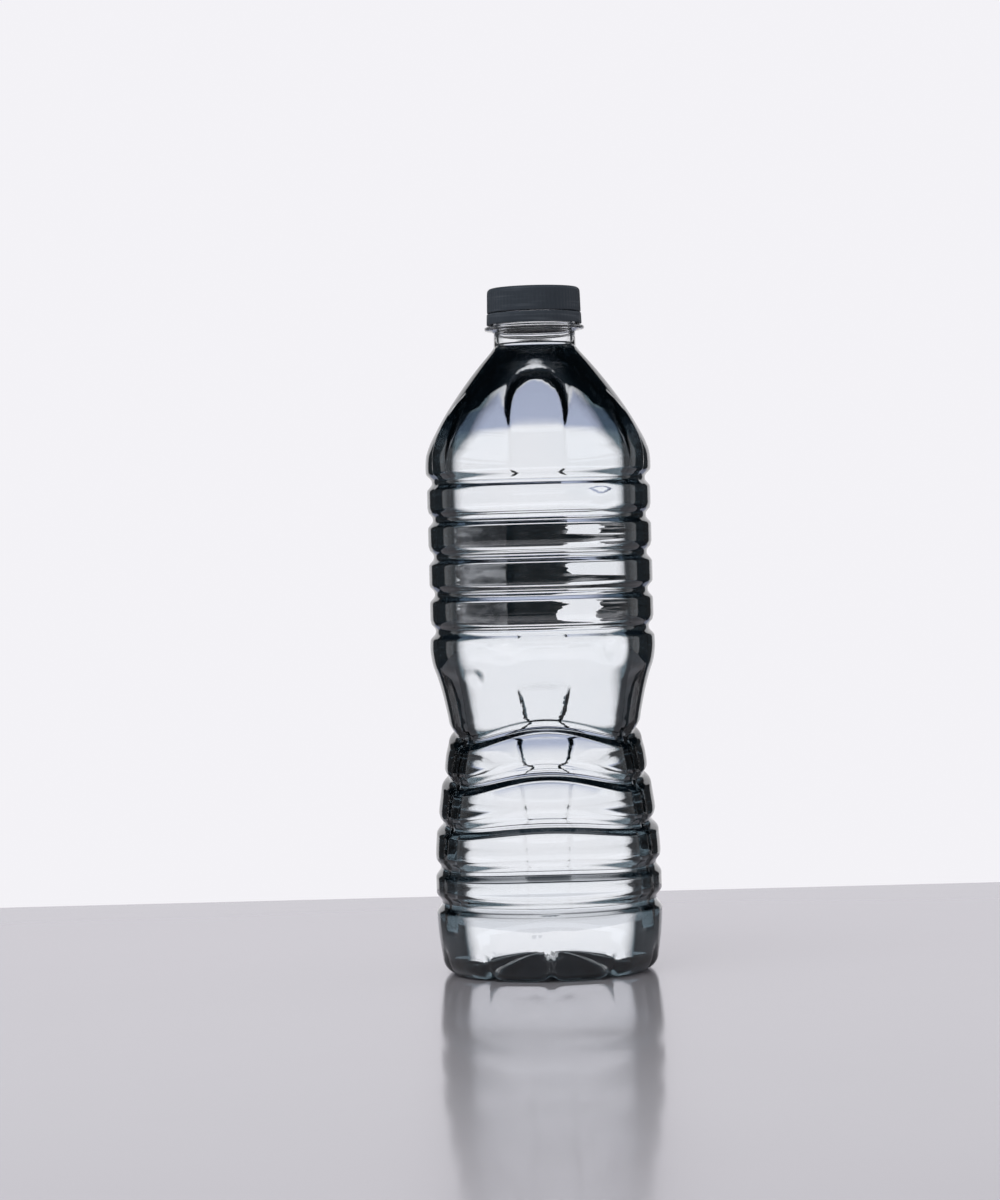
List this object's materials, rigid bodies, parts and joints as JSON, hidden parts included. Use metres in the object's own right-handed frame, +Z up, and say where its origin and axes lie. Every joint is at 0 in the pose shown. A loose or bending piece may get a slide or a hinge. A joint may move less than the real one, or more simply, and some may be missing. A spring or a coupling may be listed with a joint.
{
  "type": "water bottle",
  "caption": "Clear blown bottle full of water, with a ring-grooved grip panel, a narrow waist with wavy ribs, a fluted base and a black screw cap with a tamper band.",
  "frame": {"origin": "centre of the base, on the surface that the bottle stands on", "axes": "+Z up along the bottle's axis, -Y to the front, where a wave of the ribs has its peak"},
  "size_m": [0.0668, 0.0668, 0.2023],
  "materials": {
    "clear_plastic": "clear, glossy",
    "cap_plastic": "matte, moulded",
    "liner_foam": "soft, matte",
    "water": "clear liquid",
    "label_film": "torn printed film"
  },
  "bodies": {
    "bottle": {"bottle_body": "clear_plastic", "water": "water", "label_remnant": "label_film"},
    "liner": {"cap_liner": "liner_foam"},
    "cap": {"cap": "cap_plastic"},
    "band": {"tamper_band": "cap_plastic"}
  },
  "joints": [
    {"name": "cap_lift", "type": "slide", "parent": "bottle", "child": "liner", "axis": [0, 0, 1], "range_m": [0, 0.004]},
    {"name": "cap_turn", "type": "hinge", "parent": "liner", "child": "cap", "pos_m": [0, 0, 0.2], "axis": [0, 0, 1], "range_deg": [0, 540]},
    {"name": "band_turn", "type": "hinge", "parent": "bottle", "child": "band", "pos_m": [0, 0, 0.193], "axis": [0, 0, 1], "continuous": true}
  ],
  "couplings": [
    {"joint": "cap_lift", "follows": "cap_turn", "m_per_rad": 0.0004138}
  ]
}
